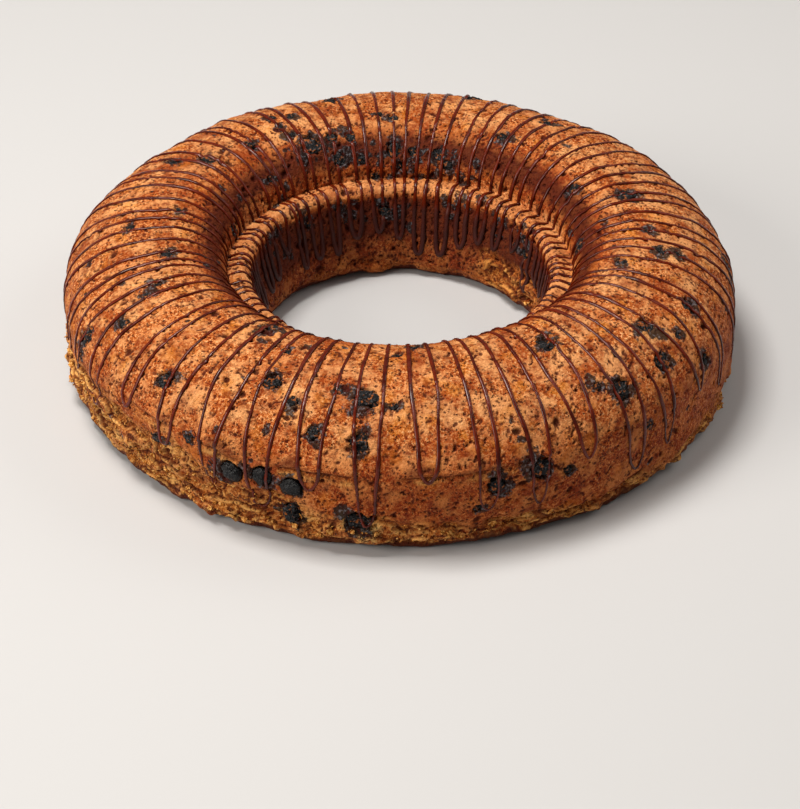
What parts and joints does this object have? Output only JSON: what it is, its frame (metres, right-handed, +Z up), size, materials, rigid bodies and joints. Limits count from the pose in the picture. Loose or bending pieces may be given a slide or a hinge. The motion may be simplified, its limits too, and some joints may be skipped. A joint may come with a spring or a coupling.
{
  "type": "ring-shaped banana cake",
  "caption": "Whole ring-shaped banana cake with dark fruit baked in and fine chocolate drizzle over its domed top.",
  "frame": {"origin": "on the table, under the middle of the cake's box, which is the middle of the hole", "axes": "+Z up through the hole, -Y towards the side that the picture shows in front, +X to its right"},
  "size_m": [0.2598, 0.2602, 0.0581],
  "materials": {
    "crust": "baked crumb: matt, warm orange-brown, finely pitted",
    "fruit": "baked dark fruit: near-black, wrinkled, softly shiny",
    "chocolate": "set chocolate drizzle: dark red-brown, glossy"
  },
  "bodies": {
    "root": {"cake": "crust", "berry_01": "fruit", "berry_02": "fruit", "berry_03": "fruit", "berry_04": "fruit", "berry_05": "fruit", "berry_06": "fruit", "berry_07": "fruit", "berry_08": "fruit", "berry_09": "fruit", "berry_10": "fruit", "berry_11": "fruit", "berry_12": "fruit", "berry_13": "fruit", "berry_14": "fruit", "berry_15": "fruit", "berry_16": "fruit", "berry_17": "fruit", "berry_18": "fruit", "berry_19": "fruit", "berry_20": "fruit", "berry_21": "fruit", "berry_22": "fruit", "berry_23": "fruit", "berry_24": "fruit", "berry_25": "fruit", "berry_26": "fruit", "berry_27": "fruit", "berry_28": "fruit", "berry_29": "fruit", "berry_30": "fruit"}
  },
  "joints": []
}
